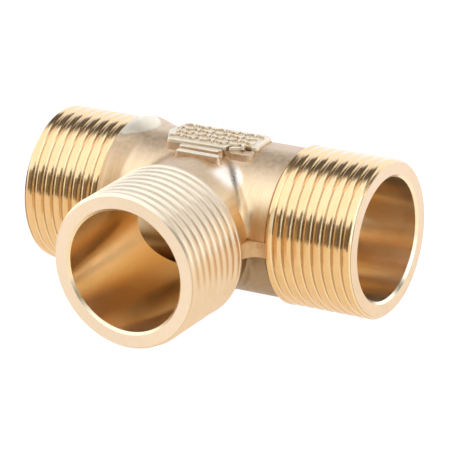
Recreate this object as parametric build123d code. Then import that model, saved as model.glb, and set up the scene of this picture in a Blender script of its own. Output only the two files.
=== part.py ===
from build123d import *
import os
from math import radians, tan

# Equal tee pipe fitting: one forged brass body with three male parallel pipe threads.
# Frame: the run lies along X, the branch points along -Y, and +Z carries the raised pad.
# The origin is the point where the run axis and the branch axis cross.

# ---- driving dimensions, millimetres ----
CENTRE_TO_END = 31.2          # from the crossing of the axes to each sealing face
BORE_DIAMETER = 20.6          # waterway through the run and the branch
MOUTH_CHAMFER = 0.42          # at each bore mouth

THREAD_MAJOR = 26.441         # G 3/4 parallel thread, in a shallow softened form
THREAD_PITCH = 1.814
THREAD_DEPTH = 0.47
THREAD_ANGLE = 80.0           # between the two flanks of a groove
CREST_FLAT = 0.96             # width of the crest before it is rounded
CREST_ROUNDING = 0.50
RIGHT_THREAD_LENGTH = 15.0    # from the sealing face to the collar
LEFT_THREAD_LENGTH = 14.4
BRANCH_THREAD_LENGTH = 14.4
START_CHAMFER = 0.5           # at the outer corner of each sealing face
RUN_OUT_SLOPE = 1.1           # length over depth of the fading last grooves

RUN_NECK_DIAMETER = 25.1      # plain forged body between the threads
BRANCH_NECK_DIAMETER = 24.3
CORNER_FILLET = 2.4           # between the branch and the run
FORGED_REACH = 12.6           # how far the plain necks are carried from the crossing

COLLAR_DIAMETER = 26.6        # narrow plain ring behind each thread
COLLAR_WIDTH = 0.35
COLLAR_STEP = 0.3             # length of the steep rise from the neck to the ring
RELIEF_WIDTH = 0.4            # shallow groove turned at the foot of that rise
RELIEF_DEPTH = 0.22
RELIEF_SLOPE = 0.2

SWELL_DIAMETER = 26.6         # forged swelling left standing behind the left thread
SWELL_OFFSET = 0.3            # it sits high, so it shows most on top
SWELL_START = 11.6
SWELL_START_DIAMETER = 24.2
SWELL_CREST = 15.6
SWELL_END = 16.8
SWELL_BLEND = 1.1             # rounding of its crest

LAND_PROUD = 0.26             # trimmed flash around the parting plane z = 0
LAND_ABOVE = 1.1              # its height above and below that plane
LAND_BELOW = 1.5
LAND_DRAFT = 5.0

PAD_CORNERS = (               # outline of the raised marking pad, counted round the axis Z
    (-8.3, 3.3),
    (-9.2, -1.0),
    (-7.2, -4.9),
    (4.2, -4.5),
    (8.4, -2.2),
    (7.8, 3.4),
)
PAD_TOP = 13.15
PAD_ROUNDING = 0.7
RAISED_DRAFT = 14.0           # of the pad and of the steps in front of it
RAISED_ROOT = 10.8            # height at which they start inside the body
EDGE_FILLET = 0.2
STEP_DROP = 0.40              # of the two steps below the pad top
STEP_ROUNDING = 0.5
REAR_STEP = (-4.4, 3.4, -6.0, -4.8)      # x from, x to, y from, y to
FRONT_STEP = (-3.7, 4.3, -8.3, -7.3)
LEDGE = (4.3, 8.4, -5.0, -2.6)           # at the pad's right front
LEDGE_DROP = 0.6
LEDGE_ROUNDING = 1.0
NOTCH_LENGTH = 2.6            # cut between the pad's front edge and the ledge
NOTCH_WIDTH = 0.55
NOTCH_DEPTH = 0.7
NOTCH_CENTRE = (3.8, -4.9)
NOTCH_TURN = 64.0
SLOT_LENGTH = 3.0             # slot along the ledge
SLOT_WIDTH = 0.6
SLOT_DEPTH = 1.3
SLOT_CENTRE = (6.1, -3.0)
SLOT_TURN = 4.0

MARK_HEIGHT = 0.34            # slanted bars on the pad
MARK_LENGTH = 1.5
MARK_WIDTH = 0.62
MARK_DRAFT = 12.0
MARK_ROOT = 0.3               # how deep a bar is rooted in the pad
MARK_SLANTS = (38.0, -52.0, 8.0, 66.0, -24.0)
MARK_ROWS = 4
MARKS_PER_ROW = 13
MARK_PITCH_X = 1.17
MARK_PITCH_Y = 1.72
MARK_CENTRE_X = -0.45
MARK_CENTRE_Y = -0.6

THREAD_RADIUS = THREAD_MAJOR / 2
ROOT_RADIUS = THREAD_RADIUS - THREAD_DEPTH
BORE_RADIUS = BORE_DIAMETER / 2
COLLAR_RADIUS = COLLAR_DIAMETER / 2

# Each opening has its own plane: +Z of the plane points out of the bore.
RUN_RIGHT = Plane(origin=(0, 0, 0), x_dir=(0, 1, 0), z_dir=(1, 0, 0))
RUN_LEFT = Plane(origin=(0, 0, 0), x_dir=(0, -1, 0), z_dir=(-1, 0, 0))
BRANCH = Plane(origin=(0, 0, 0), x_dir=(1, 0, 0), z_dir=(0, -1, 0))


def turned(points, soft=(), rounding=0.0):
    """Solid of revolution about Z from (radius, height) points, with the soft corners rounded."""
    outline = make_face(Polyline(*points, close=True))
    corners = outline.vertices().filter_by(
        lambda v: any(abs(v.X - radius) + abs(v.Y - height) < 0.01 for radius, height in soft))
    if corners:
        outline = fillet(corners, rounding)
    return revolve(Plane.XZ * outline, Axis.Z)


def thread_ridge(length):
    """One long helical ridge about Z, with straight flanks and a rounded crest."""
    sink = 0.1                                   # how far its foot lies inside the core
    crest_half = CREST_FLAT / 2
    foot_half = crest_half + (THREAD_DEPTH + sink) * tan(radians(THREAD_ANGLE / 2))
    start = CENTRE_TO_END - length - 0.7 * THREAD_PITCH
    height = length + 1.9 * THREAD_PITCH
    path = Pos(0, 0, start) * Helix(pitch=THREAD_PITCH, height=height, radius=ROOT_RADIUS)
    outline = make_face(Polyline(
        (ROOT_RADIUS - sink, -foot_half),
        (THREAD_RADIUS, -crest_half),
        (THREAD_RADIUS, crest_half),
        (ROOT_RADIUS - sink, foot_half),
        close=True,
    ))
    outline = fillet(outline.vertices().sort_by(Axis.X)[-2:], CREST_ROUNDING)
    section = Plane(origin=(0, 0, start), x_dir=(1, 0, 0), z_dir=(0, -1, 0)) * outline
    return sweep(section, path=path, is_frenet=True)


def thread_envelope(length):
    """Space that the ridge may fill: chamfered at the face, fading into the collar."""
    start = CENTRE_TO_END - length
    clear = THREAD_RADIUS + 1.0
    over = clear - (THREAD_RADIUS - START_CHAMFER)
    return turned([
        (0, start - 0.3),
        (COLLAR_RADIUS - 0.2, start - 0.3),
        (clear, start + 1.1),
        (clear, CENTRE_TO_END - over),
        (THREAD_RADIUS - START_CHAMFER, CENTRE_TO_END),
        (0, CENTRE_TO_END),
    ])


def spigot(neck_diameter, thread_length):
    """Threaded end about Z: neck, relief groove, narrow ring, fading last grooves, full thread."""
    neck_radius = neck_diameter / 2
    overlap = 1.0                                # with the forged necks
    start = CENTRE_TO_END - thread_length
    ring = start - COLLAR_WIDTH
    rise = ring - COLLAR_STEP
    run_out = (COLLAR_RADIUS - ROOT_RADIUS) * RUN_OUT_SLOPE
    core = turned([
        (0, FORGED_REACH - overlap),
        (neck_radius, FORGED_REACH - overlap),
        (neck_radius, rise - RELIEF_WIDTH),
        (neck_radius - RELIEF_DEPTH, rise - RELIEF_SLOPE),
        (neck_radius - RELIEF_DEPTH, rise),
        (COLLAR_RADIUS, ring),
        (COLLAR_RADIUS, start),
        (ROOT_RADIUS, start + run_out),
        (ROOT_RADIUS, CENTRE_TO_END),
        (0, CENTRE_TO_END),
    ])
    return core + (thread_ridge(thread_length) & thread_envelope(thread_length))


def swelling():
    """Forged swelling of the neck behind the left thread, about Z: a low cone with a soft crest."""
    crest = (SWELL_DIAMETER / 2, SWELL_CREST)
    return turned([
        (0, SWELL_START),
        (SWELL_START_DIAMETER / 2, SWELL_START),
        crest,
        (COLLAR_RADIUS - 0.15, SWELL_END),
        (0, SWELL_END),
    ], soft=[crest], rounding=SWELL_BLEND)


def forged_core():
    """Run and branch necks joined with a fillet."""
    run = Rot(0, 90, 0) * Cylinder(RUN_NECK_DIAMETER / 2, 2 * FORGED_REACH)
    branch = Rot(90, 0, 0) * Cylinder(BRANCH_NECK_DIAMETER / 2, FORGED_REACH)
    body = run + Pos(0, -FORGED_REACH / 2, 0) * branch
    meeting = body.edges().filter_by(GeomType.BSPLINE)
    return fillet(meeting, CORNER_FILLET)


def flash_land():
    """Trimmed flash: a low band that follows the body's outline at the parting plane."""
    into_collar = 0.1
    run_reach = CENTRE_TO_END - RIGHT_THREAD_LENGTH - into_collar
    branch_reach = CENTRE_TO_END - BRANCH_THREAD_LENGTH - into_collar
    run_half = RUN_NECK_DIAMETER / 2 + LAND_PROUD
    branch_half = BRANCH_NECK_DIAMETER / 2 + LAND_PROUD
    outline = Rectangle(2 * run_reach, 2 * run_half)
    outline += Pos(0, -branch_reach / 2) * Rectangle(2 * branch_half, branch_reach)
    inner_corners = outline.vertices().filter_by(
        lambda v: abs(abs(v.X) - branch_half) < 0.01 and abs(v.Y + run_half) < 0.01)
    outline = fillet(inner_corners, CORNER_FILLET)
    above = extrude(outline, LAND_ABOVE, taper=LAND_DRAFT)
    below = extrude(outline, LAND_BELOW, taper=LAND_DRAFT)
    return above + mirror(below, Plane.XY)


def raised(outline, top):
    """Drafted block rooted in the body, with a softened top edge. Its top has this outline."""
    height = top - RAISED_ROOT
    base = offset(outline, height * tan(radians(RAISED_DRAFT)))
    block = Pos(0, 0, RAISED_ROOT) * extrude(base, height, taper=RAISED_DRAFT)
    return fillet(block.faces().sort_by(Axis.Z)[-1].edges(), EDGE_FILLET)


def bar_outline(bounds, corner):
    x_from, x_to, y_from, y_to = bounds
    centre = Pos((x_from + x_to) / 2, (y_from + y_to) / 2)
    return centre * RectangleRounded(x_to - x_from, y_to - y_from, corner)


def marking_pad():
    """Raised pad, the two steps in front of it and the slotted ledge at its right front."""
    outline = make_face(Polyline(*PAD_CORNERS, close=True))
    outline = fillet(outline.vertices(), PAD_ROUNDING)
    pad = raised(outline, PAD_TOP)
    pad += raised(bar_outline(REAR_STEP, STEP_ROUNDING), PAD_TOP - STEP_DROP)
    pad += raised(bar_outline(FRONT_STEP, STEP_ROUNDING), PAD_TOP - STEP_DROP)
    pad += raised(bar_outline(LEDGE, LEDGE_ROUNDING), PAD_TOP - LEDGE_DROP)
    notch = Rot(0, 0, NOTCH_TURN) * Box(NOTCH_LENGTH, NOTCH_WIDTH, 2 * NOTCH_DEPTH)
    slot = extrude(SlotOverall(SLOT_LENGTH, SLOT_WIDTH), SLOT_DEPTH, both=True)
    pad -= Pos(*NOTCH_CENTRE, PAD_TOP) * notch
    pad -= Pos(*SLOT_CENTRE, PAD_TOP) * Rot(0, 0, SLOT_TURN) * slot
    return pad


def marks():
    """Rows of short slanted bars, a plain raised texture in the place of lettering."""
    bar = extrude(SlotOverall(MARK_LENGTH, MARK_WIDTH), MARK_HEIGHT + MARK_ROOT, taper=MARK_DRAFT)
    bars = []
    for row in range(MARK_ROWS):
        for column in range(MARKS_PER_ROW):
            stagger = 0.5 * (row % 2)
            x = MARK_CENTRE_X + (column + stagger - MARKS_PER_ROW / 2 + 0.25) * MARK_PITCH_X
            y = MARK_CENTRE_Y + (row - (MARK_ROWS - 1) / 2) * MARK_PITCH_Y
            slant = 90 + MARK_SLANTS[(2 * row + column) % len(MARK_SLANTS)]
            bars.append(Pos(x, y, PAD_TOP - MARK_ROOT) * Rot(0, 0, slant) * bar)
    return bars


def waterway(plane):
    """Bore from the crossing out through one mouth, with the mouth chamfer."""
    beyond = 1.0
    cutter = turned([
        (0, 0),
        (BORE_RADIUS, 0),
        (BORE_RADIUS, CENTRE_TO_END - MOUTH_CHAMFER),
        (BORE_RADIUS + MOUTH_CHAMFER + beyond, CENTRE_TO_END + beyond),
        (0, CENTRE_TO_END + beyond),
    ])
    return plane.location * cutter


def tee_body():
    body = forged_core() + flash_land() + marking_pad()
    for mark in marks():
        body += mark
    body += RUN_RIGHT.location * spigot(RUN_NECK_DIAMETER, RIGHT_THREAD_LENGTH)
    body += RUN_LEFT.location * spigot(RUN_NECK_DIAMETER, LEFT_THREAD_LENGTH)
    body += Pos(0, 0, SWELL_OFFSET) * RUN_LEFT.location * swelling()
    body += BRANCH.location * spigot(BRANCH_NECK_DIAMETER, BRANCH_THREAD_LENGTH)
    for plane in (RUN_RIGHT, RUN_LEFT, BRANCH):
        body -= waterway(plane)
    return body


os.makedirs("parts", exist_ok=True)
tee = tee_body()
tee.label = "tee_body"
export_step(tee, "parts/tee_body.step")
print("solids", len(tee.solids()), "volume", round(tee.volume, 1), "valid", tee.is_valid)
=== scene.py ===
import bpy
from math import cos, pi, radians, sin
from mathutils import Matrix, Vector


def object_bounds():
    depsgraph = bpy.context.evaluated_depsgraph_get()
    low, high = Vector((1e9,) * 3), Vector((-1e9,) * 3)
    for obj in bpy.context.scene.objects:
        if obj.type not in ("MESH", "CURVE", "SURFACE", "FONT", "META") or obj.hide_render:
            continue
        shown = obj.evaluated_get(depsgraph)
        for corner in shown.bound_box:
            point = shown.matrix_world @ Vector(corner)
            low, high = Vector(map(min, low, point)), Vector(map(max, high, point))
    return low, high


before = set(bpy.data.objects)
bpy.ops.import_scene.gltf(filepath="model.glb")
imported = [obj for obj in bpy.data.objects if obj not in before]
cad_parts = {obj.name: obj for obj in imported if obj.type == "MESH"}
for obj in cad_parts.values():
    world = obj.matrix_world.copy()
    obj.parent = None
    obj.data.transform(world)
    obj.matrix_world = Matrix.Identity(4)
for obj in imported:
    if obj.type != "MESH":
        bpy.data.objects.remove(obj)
cad_low, cad_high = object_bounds()

MM = 0.001

# ---------------------------------------------------------------- dimensions
CENTRE_TO_END = cad_high.x              # run and branch are equally long
THREAD_ROOT = 12.75 * MM
BORE_RADIUS = 10.3 * MM
FACE_DEPTH = 0.02 * MM                  # how near the end a point counts as on the end face
GROOVE_EDGE = THREAD_ROOT + 0.46 * MM   # outer end of the groove edges that get the painted highlight high up
GROOVE_EDGE_BLEND = 0.04 * MM
RIGHT_THREAD_START = CENTRE_TO_END - 15.4 * MM
LEFT_THREAD_START = CENTRE_TO_END - 14.45 * MM
BRANCH_THREAD_START = CENTRE_TO_END - 14.8 * MM
TOP_HIGHLIGHT_HEIGHT = 10.2 * MM               # above it the thread grooves are painted pale as a highlight
TOP_HIGHLIGHT_BLEND = 0.4 * MM
LINISH_TOP = (11.6 * MM, 7.6 * MM)      # heights between which the linished sides fade out
LINISH_FOOT = (-1.75 * MM, -1.45 * MM)  # and where they start, at the parting band
LOW_SIDE = (-1.45 * MM, -1.7 * MM)      # below it the body is shaded
SHOULDER_NEAR = (radians(40), radians(52))    # shoulder with a painted highlight, as angles round the branch
SHOULDER_FAR = (radians(74), radians(61))
SHOULDER_BACK = (-5.0 * MM, -8.0 * MM)  # and as places along it
SHOULDER_FRONT = (-13.0 * MM, -10.0 * MM)
SHOULDER_SKIN = (13.4 * MM, 12.7 * MM)  # distance from the branch axis where it ends
CORNER_OFF_BRANCH = (12.3 * MM, 12.7 * MM)    # rough fillet between the branch and the run
CORNER_OFF_RUN = (12.65 * MM, 12.85 * MM)
CORNER_TOP = (12.0 * MM, 11.6 * MM)
PAD_FACE = (12.45 * MM, 12.75 * MM)     # heights where the pad's own tone comes in
INNER_WALL = (-6.0 * MM, -9.0 * MM)     # places along a bore past which its painted shade tone comes in
CREVICE_REACH = 0.6 * MM
RUN_AXIS = (1.0, 0.0, 0.0)
BRANCH_AXIS = (0.0, 1.0, 0.0)


# ---------------------------------------------------------------- node helpers
class Nodes:
    """Small builder for a node tree: each call adds a node and returns its output."""

    def __init__(self, tree):
        self.tree = tree
        tree.nodes.clear()

    def add(self, kind, **settings):
        node = self.tree.nodes.new(kind)
        for key, value in settings.items():
            setattr(node, key, value)
        return node

    def feed(self, socket, value):
        if isinstance(value, bpy.types.NodeSocket):
            self.tree.links.new(value, socket)
        else:
            socket.default_value = value

    def math(self, operation, a, b=None):
        node = self.add("ShaderNodeMath", operation=operation)
        for socket, value in zip(node.inputs, (a, b)):
            if value is not None:
                self.feed(socket, value)
        return node.outputs[0]

    def combine(self, x, y, z):
        node = self.add("ShaderNodeCombineXYZ")
        for socket, value in zip(node.inputs, (x, y, z)):
            self.feed(socket, value)
        return node.outputs[0]

    def separate(self, vector):
        node = self.add("ShaderNodeSeparateXYZ")
        self.feed(node.inputs[0], vector)
        return node.outputs[0], node.outputs[1], node.outputs[2]

    def place(self):
        return self.add("ShaderNodeTexCoord").outputs["Object"]

    def length(self, a, b):
        return self.math("SQRT", self.math("ADD", self.math("MULTIPLY", a, a),
                                           self.math("MULTIPLY", b, b)))

    def noise(self, vector, scale, detail=3.0, roughness=0.55):
        node = self.add("ShaderNodeTexNoise")
        self.feed(node.inputs["Vector"], vector)
        node.inputs["Scale"].default_value = scale
        node.inputs["Detail"].default_value = detail
        node.inputs["Roughness"].default_value = roughness
        return node.outputs["Fac"]

    def span(self, value, low, high, out_low=0.0, out_high=1.0):
        """Value between low and high, carried smoothly to out_low and out_high."""
        node = self.add("ShaderNodeMapRange", clamp=True, interpolation_type="SMOOTHSTEP")
        for socket, item in zip(node.inputs, (value, low, high, out_low, out_high)):
            self.feed(socket, item)
        return node.outputs[0]

    def mix(self, factor, a, b, blend="MIX"):
        node = self.add("ShaderNodeMix", data_type="RGBA", blend_type=blend)
        self.feed(node.inputs["Factor"], factor)
        for socket, value in ((node.inputs[6], a), (node.inputs[7], b)):
            self.feed(socket, (*value, 1.0) if isinstance(value, tuple) else value)
        return node.outputs[2]

    def crevice(self, distance):
        """0 in the open, rising to 1 where the surface is closed in by its own body."""
        node = self.add("ShaderNodeAmbientOcclusion", samples=8, only_local=True)
        node.inputs["Distance"].default_value = distance
        return self.math("SUBTRACT", 1.0, node.outputs["AO"])

    def bump(self, height, strength, distance, normal=None):
        node = self.add("ShaderNodeBump")
        self.feed(node.inputs["Height"], height)
        node.inputs["Strength"].default_value = strength
        node.inputs["Distance"].default_value = distance
        if normal is not None:
            self.feed(node.inputs["Normal"], normal)
        return node.outputs[0]


def cylindrical(nodes, axis):
    """(along, radius, angle) of the object position about the run or the branch axis."""
    x, y, z = nodes.separate(nodes.place())
    along, across = (x, y) if axis == RUN_AXIS else (y, x)
    return along, nodes.length(across, z), nodes.math("ARCTAN2", z, across)


def metal(name, build, anisotropy, coat):
    """Brass. build(nodes) gives its colour, roughness, normal and tangent."""
    material = bpy.data.materials.new(name)
    material.use_nodes = True
    nodes = Nodes(material.node_tree)
    output = nodes.add("ShaderNodeOutputMaterial")
    shader = nodes.add("ShaderNodeBsdfPrincipled")
    nodes.tree.links.new(shader.outputs[0], output.inputs["Surface"])
    colour, roughness, normal, tangent = build(nodes)
    shader.inputs["Metallic"].default_value = 1.0
    shader.inputs["Anisotropic"].default_value = anisotropy
    shader.inputs["Coat Weight"].default_value = coat
    shader.inputs["Coat Roughness"].default_value = 0.3
    nodes.feed(shader.inputs["Base Color"], colour)
    nodes.feed(shader.inputs["Roughness"], roughness)
    nodes.feed(shader.inputs["Normal"], normal)
    nodes.feed(shader.inputs["Tangent"], tangent)
    return material


def threaded_metal(name, axis, light, deep, flank, root, edge, rough, anisotropy, coat):
    """Lathe-cut thread: fine tool lines round the axis, flanks painted paler against their shade,
    roots painted dark as shade, and grooves painted pale high up as a highlight."""
    def build(nodes):
        along, radius, angle = cylindrical(nodes, axis)
        lines = nodes.noise(nodes.combine(along, nodes.math("MULTIPLY", angle, 0.0006), radius),
                            3600.0, 4.0, 0.7)
        blotch = nodes.noise(nodes.place(), 300.0, 4.0, 0.6)
        in_groove = nodes.span(radius, THREAD_ROOT + 0.36 * MM, THREAD_ROOT + 0.16 * MM)
        at_root = nodes.span(radius, THREAD_ROOT + 0.12 * MM, THREAD_ROOT + 0.04 * MM)
        tone = nodes.mix(nodes.span(blotch, 0.35, 0.65), deep, light)
        # painted light: the flanks take a paler colour than the crest against the shade in the
        # grooves
        colour = nodes.mix(in_groove, tone, flank)
        # painted shade: the thread roots are darkened
        colour = nodes.mix(nodes.math("MULTIPLY", at_root, 0.8), colour, root)
        height = nodes.separate(nodes.place())[2]
        # painted highlight: above this height the grooves take the pale edge colour
        painted_highlight = nodes.math("MULTIPLY",
                            nodes.span(radius, GROOVE_EDGE, GROOVE_EDGE - GROOVE_EDGE_BLEND),
                            nodes.span(height, TOP_HIGHLIGHT_HEIGHT - TOP_HIGHLIGHT_BLEND,
                                       TOP_HIGHLIGHT_HEIGHT + TOP_HIGHLIGHT_BLEND))
        colour = nodes.mix(painted_highlight, colour, edge)
        roughness = nodes.span(nodes.math("ADD", nodes.math("MULTIPLY", lines, 0.6),
                                          nodes.math("MULTIPLY", blotch, 0.4)),
                               0.35, 0.65, rough[0], rough[1])
        normal = nodes.bump(lines, 0.12, 0.02 * MM)
        normal = nodes.bump(blotch, 0.16, 0.12 * MM, normal)
        return colour, roughness, normal, nodes.combine(*axis)
    return metal(name, build, anisotropy, coat)


def bored_metal(name, axis, light, deep, inner_shade, rough, anisotropy, coat):
    """Bored wall: rings from the boring bar, and painted shade towards the negative end of the
    axis, deep in the run's bore.
    """
    def build(nodes):
        along, _, angle = cylindrical(nodes, axis)
        rings = nodes.noise(nodes.combine(along, nodes.math("MULTIPLY", angle, 0.0004), 0.0),
                            2600.0, 4.0, 0.65)
        blotch = nodes.noise(nodes.place(), 260.0, 4.0, 0.6)
        colour = nodes.mix(nodes.span(blotch, 0.3, 0.7), deep, light)
        # painted shade: darker tone deep in the bore
        colour = nodes.mix(nodes.span(along, *INNER_WALL), colour, inner_shade)
        roughness = nodes.span(blotch, 0.35, 0.65, rough[0], rough[1])
        normal = nodes.bump(rings, 0.15, 0.02 * MM)
        return colour, roughness, normal, nodes.combine(*axis)
    return metal(name, build, anisotropy, coat)


def faced_metal(name, light, deep, run_face_shade, rough, anisotropy, coat):
    """End faces cut in the lathe: fine rings round the bore axis. The run's end faces get a darker,
    warmer tint as painted shade.
    """
    def build(nodes):
        place = nodes.place()
        x, y, z = nodes.separate(place)
        on_run = nodes.math("GREATER_THAN", nodes.math("ABSOLUTE", x), RIGHT_THREAD_START)
        off_run = nodes.math("SUBTRACT", 1.0, on_run)
        y_run = nodes.math("MULTIPLY", y, on_run)
        x_branch = nodes.math("MULTIPLY", x, off_run)
        radius = nodes.length(nodes.math("ADD", y_run, x_branch), z)
        rings = nodes.noise(nodes.combine(radius, 0.0, 0.0), 4200.0, 3.0, 0.6)
        blotch = nodes.noise(place, 420.0, 4.0, 0.6)
        colour = nodes.mix(nodes.span(blotch, 0.3, 0.7), deep, light)
        # painted shade: the run's end faces darkened and warmed
        colour = nodes.mix(on_run, colour, nodes.mix(1.0, colour, run_face_shade, "MULTIPLY"))
        roughness = nodes.span(blotch, 0.35, 0.65, rough[0], rough[1])
        normal = nodes.bump(rings, 0.16, 0.02 * MM)
        normal = nodes.bump(blotch, 0.18, 0.08 * MM, normal)
        return colour, roughness, normal, nodes.combine(x_branch, y_run, z)
    return metal(name, build, anisotropy, coat)


def forged_metal(name, gold, taupe, shade, painted_highlight, pad, anisotropy, coat):
    """Forged and blasted body: linished sides, a painted shoulder highlight, a pale pad, and
    painted shade low down and in crevices.
    """
    def build(nodes):
        place = nodes.place()
        x, y, z = nodes.separate(place)
        along, radius, angle = cylindrical(nodes, RUN_AXIS)
        grain = nodes.noise(place, 3000.0, 3.0, 0.6)
        pits = nodes.noise(place, 1100.0, 5.0, 0.6)
        blotch = nodes.noise(place, 170.0, 4.0, 0.6)
        strokes = nodes.noise(nodes.combine(along, nodes.math("MULTIPLY", angle, 0.0006), 0.0),
                              2600.0, 4.0, 0.65)
        broad = nodes.noise(nodes.combine(along, nodes.math("MULTIPLY", angle, 0.0010), 0.0),
                            800.0, 3.0, 0.6)
        under_top = nodes.span(z, *LINISH_TOP)
        over_land = nodes.span(z, *LINISH_FOOT)
        linished = nodes.math("MULTIPLY", under_top, over_land)
        low = nodes.span(z, *LOW_SIDE)
        slope = nodes.math("ARCTAN2", z, x)
        shoulder = nodes.math("MULTIPLY", nodes.span(slope, *SHOULDER_NEAR),
                              nodes.span(slope, *SHOULDER_FAR))
        shoulder = nodes.math("MULTIPLY", shoulder,
                              nodes.math("MULTIPLY", nodes.span(y, *SHOULDER_BACK),
                                         nodes.span(y, *SHOULDER_FRONT)))
        off_branch = nodes.length(x, z)
        shoulder = nodes.math("MULTIPLY", shoulder, nodes.span(off_branch, *SHOULDER_SKIN))
        stroke_tone = nodes.math("ADD", nodes.math("MULTIPLY", strokes, 0.5),
                                 nodes.math("MULTIPLY", broad, 0.5))
        golden = nodes.mix(nodes.span(stroke_tone, 0.36, 0.64), gold[1], gold[0])
        dull = nodes.mix(nodes.span(pits, 0.3, 0.7), taupe[1], taupe[0])
        colour = nodes.mix(linished, dull, golden)
        # painted shade: the body darker below the parting band
        colour = nodes.mix(nodes.math("MULTIPLY", low, 0.8), colour, shade)
        # painted highlight on the branch's right shoulder
        colour = nodes.mix(shoulder, colour, painted_highlight)
        colour = nodes.mix(nodes.span(z, *PAD_FACE), colour, pad)
        # painted shade in the crevices, from ambient occlusion
        closed_in = nodes.span(nodes.crevice(CREVICE_REACH), 0.22, 0.70, 0.0, 0.9)
        colour = nodes.mix(closed_in, colour, shade)
        roughness = nodes.mix(linished, nodes.span(pits, 0.3, 0.7, 0.46, 0.60),
                              nodes.span(blotch, 0.3, 0.7, 0.38, 0.46))
        roughness = nodes.mix(shoulder, roughness, nodes.span(pits, 0.3, 0.7, 0.26, 0.36))
        corner = nodes.math("MULTIPLY", nodes.span(off_branch, *CORNER_OFF_BRANCH),
                            nodes.span(radius, *CORNER_OFF_RUN))
        corner = nodes.math("MULTIPLY", corner, nodes.span(z, *CORNER_TOP))
        roughness = nodes.mix(corner, roughness, nodes.span(pits, 0.3, 0.7, 0.66, 0.74))
        dull_normal = nodes.bump(grain, 0.45, 0.05 * MM)
        dull_normal = nodes.bump(pits, 0.45, 0.12 * MM, dull_normal)
        line_normal = nodes.bump(strokes, 0.30, 0.04 * MM)
        line_normal = nodes.bump(grain, 0.12, 0.04 * MM, line_normal)
        normal = nodes.mix(linished, dull_normal, line_normal)
        return colour, roughness, normal, nodes.combine(*RUN_AXIS)
    return metal(name, build, anisotropy, coat)


# ---------------------------------------------------------------- the fitting
RUN_THREAD = threaded_metal("brass_run_thread", RUN_AXIS, (0.80, 0.48, 0.19), (0.76, 0.44, 0.165),
                            (0.88, 0.64, 0.33), (0.45, 0.27, 0.12), (0.82, 0.50, 0.21),
                            (0.18, 0.24), 0.85, 0.3)
BRANCH_THREAD = threaded_metal("brass_branch_thread", BRANCH_AXIS, (0.86, 0.61, 0.35),
                               (0.83, 0.57, 0.31), (0.84, 0.60, 0.34), (0.66, 0.45, 0.25),
                               (0.93, 0.69, 0.40), (0.32, 0.38), 0.88, 0.2)
RUN_BORE = bored_metal("brass_run_bore", RUN_AXIS, (1.00, 0.77, 0.47), (0.96, 0.71, 0.41),
                       (0.56, 0.36, 0.16), (0.23, 0.27), 0.82, 0.1)
BRANCH_BORE = bored_metal("brass_branch_bore", BRANCH_AXIS, (0.96, 0.72, 0.40),
                          (0.92, 0.66, 0.35), (0.92, 0.66, 0.35), (0.23, 0.27), 0.82, 0.1)
FACE = faced_metal("brass_end_face", (0.92, 0.70, 0.46), (0.86, 0.64, 0.40), (0.91, 0.85, 0.76),
                   (0.34, 0.46), 0.4, 0.2)
BODY = forged_metal("brass_forged_body", ((0.86, 0.58, 0.29), (0.78, 0.49, 0.22)),
                    ((0.76, 0.50, 0.27), (0.62, 0.40, 0.20)), (0.34, 0.21, 0.10),
                    (0.98, 0.76, 0.52), (0.88, 0.69, 0.44), 0.5, 0.0)
LOOKS = (BODY, RUN_THREAD, BRANCH_THREAD, RUN_BORE, BRANCH_BORE, FACE)


def region(centre):
    """Material for a face with this centre."""
    x, y, z = centre
    from_run_axis = (y * y + z * z) ** 0.5
    from_branch_axis = (x * x + z * z) ** 0.5
    tight = BORE_RADIUS * 1.01
    loose = BORE_RADIUS * 1.06
    if max(abs(x), -y) > CENTRE_TO_END - FACE_DEPTH:
        return FACE
    if y < 0 and from_branch_axis < tight and from_run_axis > tight * 0.98:
        return BRANCH_BORE
    if from_run_axis < loose and -y < loose:
        return RUN_BORE
    if from_branch_axis < loose and y < 0:
        return BRANCH_BORE
    if x > RIGHT_THREAD_START or -x > LEFT_THREAD_START:
        return RUN_THREAD
    if -y > BRANCH_THREAD_START:
        return BRANCH_THREAD
    return BODY


def dress(tee):
    """Gives each face of the CAD body the material of its region."""
    tee.data.materials.clear()
    for look in LOOKS:
        tee.data.materials.append(look)
    for face in tee.data.polygons:
        face.material_index = LOOKS.index(region(face.center))


dress(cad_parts["tee_body"])


# ---------------------------------------------------------------- floor
FLOOR_FRONT = (0.95, 0.96, 0.99)
FLOOR_BACK = (1.00, 1.06, 1.22)
FLOOR_HALF = 2.5
FLOOR_GAP = 0.03 * MM                   # clearance below the lowest point of the fitting
FLOOR_FADE = 0.06                       # distance back over which the glow turns from front to back


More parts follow.
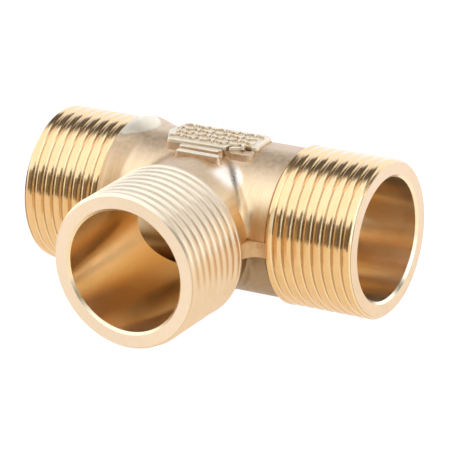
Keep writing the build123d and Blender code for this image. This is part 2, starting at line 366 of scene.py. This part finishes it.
def floor():
    mesh = bpy.data.meshes.new("floor")
    level = cad_low.z - FLOOR_GAP
    corners = [(-FLOOR_HALF, -FLOOR_HALF, level), (FLOOR_HALF, -FLOOR_HALF, level),
               (FLOOR_HALF, FLOOR_HALF, level), (-FLOOR_HALF, FLOOR_HALF, level)]
    mesh.from_pydata(corners, [], [(0, 1, 2, 3)])
    piece = bpy.data.objects.new("floor", mesh)
    bpy.context.scene.collection.objects.link(piece)
    material = bpy.data.materials.new("floor_white")
    material.use_nodes = True
    shader = material.node_tree.nodes["Principled BSDF"]
    shader.inputs["Base Color"].default_value = (0.14, 0.14, 0.14, 1.0)
    shader.inputs["Roughness"].default_value = 0.8
    shader.inputs["Specular IOR Level"].default_value = 0.2
    tree = material.node_tree
    place = tree.nodes.new("ShaderNodeTexCoord")
    split = tree.nodes.new("ShaderNodeSeparateXYZ")
    tree.links.new(place.outputs["Object"], split.inputs[0])
    ramp = tree.nodes.new("ShaderNodeMapRange")
    ramp.interpolation_type = "SMOOTHSTEP"
    for socket, value in zip(ramp.inputs[1:5], (0.0, FLOOR_FADE, 0.0, 1.0)):
        socket.default_value = value
    tree.links.new(split.outputs[1], ramp.inputs[0])
    glow = tree.nodes.new("ShaderNodeMix")
    glow.data_type = "RGBA"
    tree.links.new(ramp.outputs[0], glow.inputs["Factor"])
    glow.inputs[6].default_value = (*FLOOR_FRONT, 1.0)
    glow.inputs[7].default_value = (*FLOOR_BACK, 1.0)
    tree.links.new(glow.outputs[2], shader.inputs["Emission Color"])
    shader.inputs["Emission Strength"].default_value = 1.0
    mesh.materials.append(material)


floor()


# ---------------------------------------------------------------- studio light
SOFTBOX = (1.50, 1.85, 2.60)   # colour and brightness of the softbox overhead
BACKDROP = (1.30, 1.58, 2.15)  # of the white behind the object
GAP = (0.13, 0.13, 0.13)       # of the dark between softbox and backdrop
SIDES = (1.60, 1.95, 2.60)     # of the white screens at both ends
ROOM_LEFT = (0.25, 0.23, 0.21)  # of the dark room in front, towards the left
ROOM = (0.16, 0.15, 0.14)      # of the dark room round the camera
SOFTBOX_FOOT = (31.0, 42.0)    # height of the softbox's front edge, at its left and right
SOFTBOX_FOOT_X = (-0.46, 0.30)
SOFTBOX_BACK = (98.0, 109.0)   # heights between which it fades out
HORIZON = (140.0, 133.5)       # height of the backdrop's top edge, at its left and right
HORIZON_X = (-0.52, -0.44)
SIDES_X = (0.72, 0.90)         # where the side screens come in


def studio():
    """Soft studio as a sky. It is laid out by height (degrees up from the front horizon,
    over the top, to the back horizon at 180) and by x (from the left end to the right)."""
    world = bpy.data.worlds.new("studio")
    bpy.context.scene.world = world
    world.use_nodes = True
    nodes = Nodes(world.node_tree)
    output = nodes.add("ShaderNodeOutputWorld")
    background = nodes.add("ShaderNodeBackground")
    nodes.tree.links.new(background.outputs[0], output.inputs["Surface"])
    x, y, z = nodes.separate(nodes.add("ShaderNodeTexCoord").outputs["Generated"])
    turn = nodes.math("ARCTAN2", z, nodes.math("MULTIPLY", y, -1.0))
    height = nodes.math("MULTIPLY", turn, 180.0 / pi)

    room = nodes.mix(nodes.span(x, -0.75, 0.0), ROOM_LEFT, ROOM)
    edge = nodes.span(x, *SOFTBOX_FOOT_X, *SOFTBOX_FOOT)
    softbox = nodes.span(nodes.math("SUBTRACT", height, edge), -1.5, 2.0)
    light = nodes.mix(softbox, room, SOFTBOX)
    light = nodes.mix(nodes.span(height, *SOFTBOX_BACK), light, GAP)
    horizon = nodes.span(x, *HORIZON_X, *HORIZON)
    backdrop = nodes.span(nodes.math("SUBTRACT", height, horizon), -3.0, 3.0)
    light = nodes.mix(backdrop, light, BACKDROP)
    light = nodes.mix(nodes.span(nodes.math("ABSOLUTE", x), *SIDES_X), light, SIDES)
    nodes.feed(background.inputs["Color"], light)
    background.inputs["Strength"].default_value = 1.0


studio()


# ---------------------------------------------------------------- camera
AZIMUTH = radians(31.15)
ELEVATION = radians(21.14)
ROLL = radians(-1.8)
DISTANCE = 0.538
LENS = 258.0
AIM_RIGHT = 0.38                        # from the origin, millimetres
AIM_DOWN = 2.58


def camera():
    back = Vector((sin(AZIMUTH) * cos(ELEVATION), -cos(AZIMUTH) * cos(ELEVATION), sin(ELEVATION)))
    right = Vector((cos(AZIMUTH), sin(AZIMUTH), 0.0))
    up = back.cross(right)
    rolled_right = cos(ROLL) * right + sin(ROLL) * up
    rolled_up = -sin(ROLL) * right + cos(ROLL) * up
    aim = rolled_right * AIM_RIGHT * MM - rolled_up * AIM_DOWN * MM
    data = bpy.data.cameras.new("camera")
    data.sensor_width = 36.0
    data.lens = LENS
    data.clip_start = 0.01
    eye = bpy.data.objects.new("camera", data)
    bpy.context.scene.collection.objects.link(eye)
    turn = Matrix((rolled_right, rolled_up, back)).transposed().to_4x4()
    eye.matrix_world = Matrix.Translation(aim + back * DISTANCE) @ turn
    bpy.context.scene.camera = eye


camera()
bpy.context.scene.view_settings.view_transform = "Standard"
